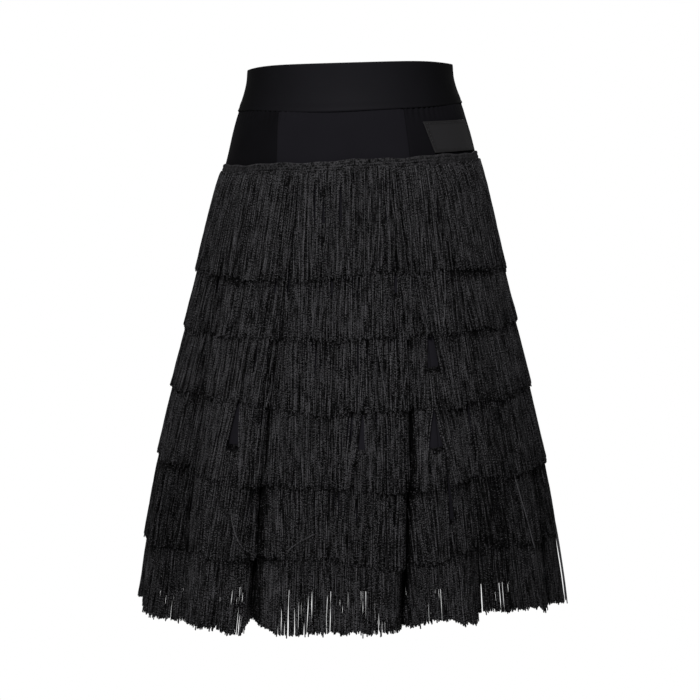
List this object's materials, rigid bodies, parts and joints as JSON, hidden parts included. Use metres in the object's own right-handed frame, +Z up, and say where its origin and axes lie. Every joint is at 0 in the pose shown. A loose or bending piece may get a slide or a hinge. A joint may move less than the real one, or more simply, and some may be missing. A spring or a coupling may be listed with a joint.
{
  "type": "fringed dance skirt",
  "caption": "Knee-length Latin dance skirt in worn shape: wide waistband, flared gores in soft flutes, and tiers of long cut fringe sewn round them.",
  "frame": {"origin": "centre of the waist opening, level with the waistband's top fold at the front", "axes": "+Z up out of the waist, -Y the front, +X the side that carries the label"},
  "size_m": [0.5186, 0.4666, 0.6531],
  "materials": {
    "band_jersey": "black stretch jersey folded over wide elastic, soft low sheen",
    "jersey": "smooth black stretch jersey, soft low sheen",
    "fringe_rayon": "black twisted rayon fringe under a knitted tape, small glints along each strand",
    "label_satin": "plain woven black label, bare, slight satin sheen"
  },
  "bodies": {
    "root": {"waistband": "band_jersey", "gore_front": "jersey", "gore_front_left": "jersey", "gore_back_left": "jersey", "gore_back": "jersey", "gore_back_right": "jersey", "gore_front_right": "jersey", "fringe_tier_1": "fringe_rayon", "fringe_tier_2": "fringe_rayon", "fringe_tier_3": "fringe_rayon", "fringe_tier_4": "fringe_rayon", "fringe_tier_5": "fringe_rayon", "fringe_tier_6": "fringe_rayon", "label": "label_satin"}
  },
  "joints": []
}
